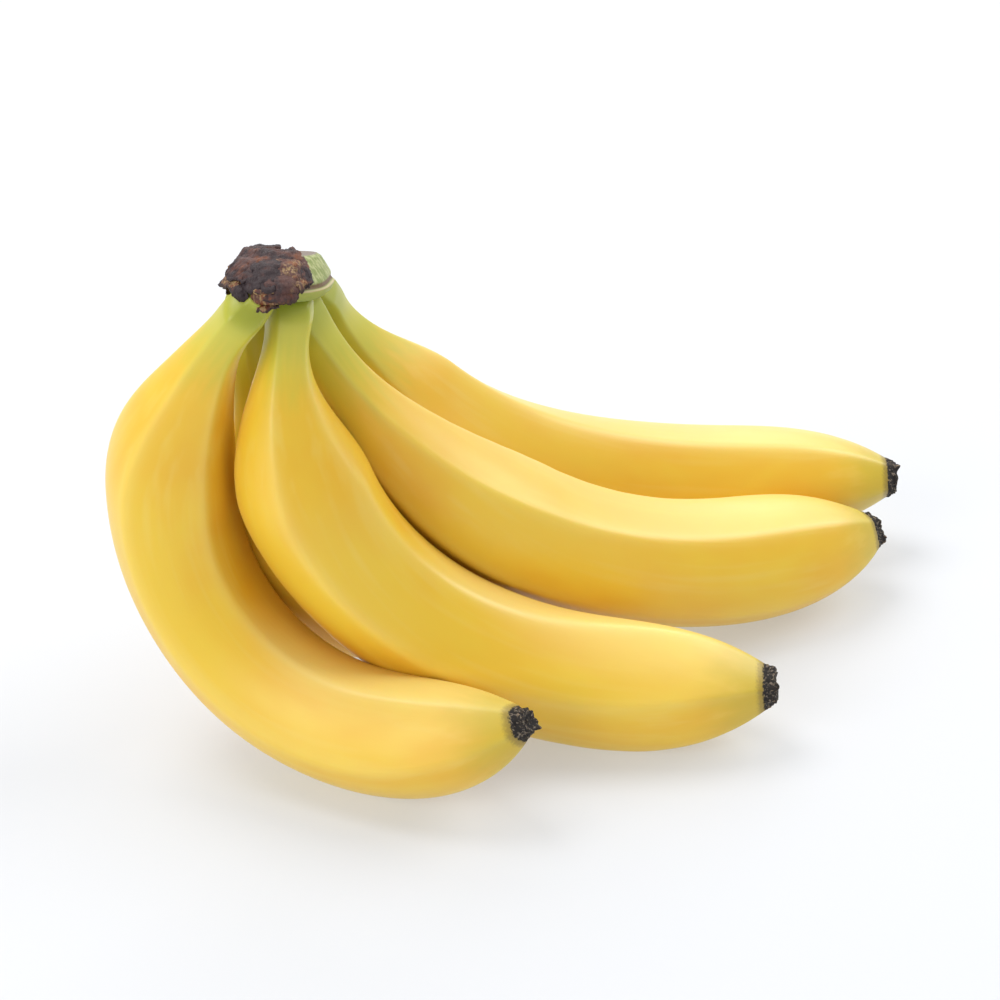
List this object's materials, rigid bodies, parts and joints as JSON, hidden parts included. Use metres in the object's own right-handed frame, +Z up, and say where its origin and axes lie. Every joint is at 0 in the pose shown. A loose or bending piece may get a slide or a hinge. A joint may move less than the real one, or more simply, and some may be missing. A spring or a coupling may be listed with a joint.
{
  "type": "bunch of bananas",
  "caption": "Bunch of ripe bananas joined at one crown with a dried husk, standing on its lowest curves and leaning back, tips to one side.",
  "frame": {"origin": "on the table, at the middle of the bunch's footprint", "axes": "+X along the bunch towards the tips, +Y to the back, +Z up; the crown is at -X"},
  "size_m": [0.2272, 0.1652, 0.1461],
  "materials": {
    "yellow_peel": "waxy satin banana peel, yellow, green at the neck and blackish brown at the tip",
    "green_rind": "pale green striated rind of the crown",
    "dried_sheath": "dry, fibrous, purple-brown husk, matt"
  },
  "bodies": {
    "root": {"banana_1": "yellow_peel", "banana_2": "yellow_peel", "banana_3": "yellow_peel", "banana_4": "yellow_peel", "banana_5": "yellow_peel", "crown": "green_rind", "dried_husk": "dried_sheath"}
  },
  "joints": []
}
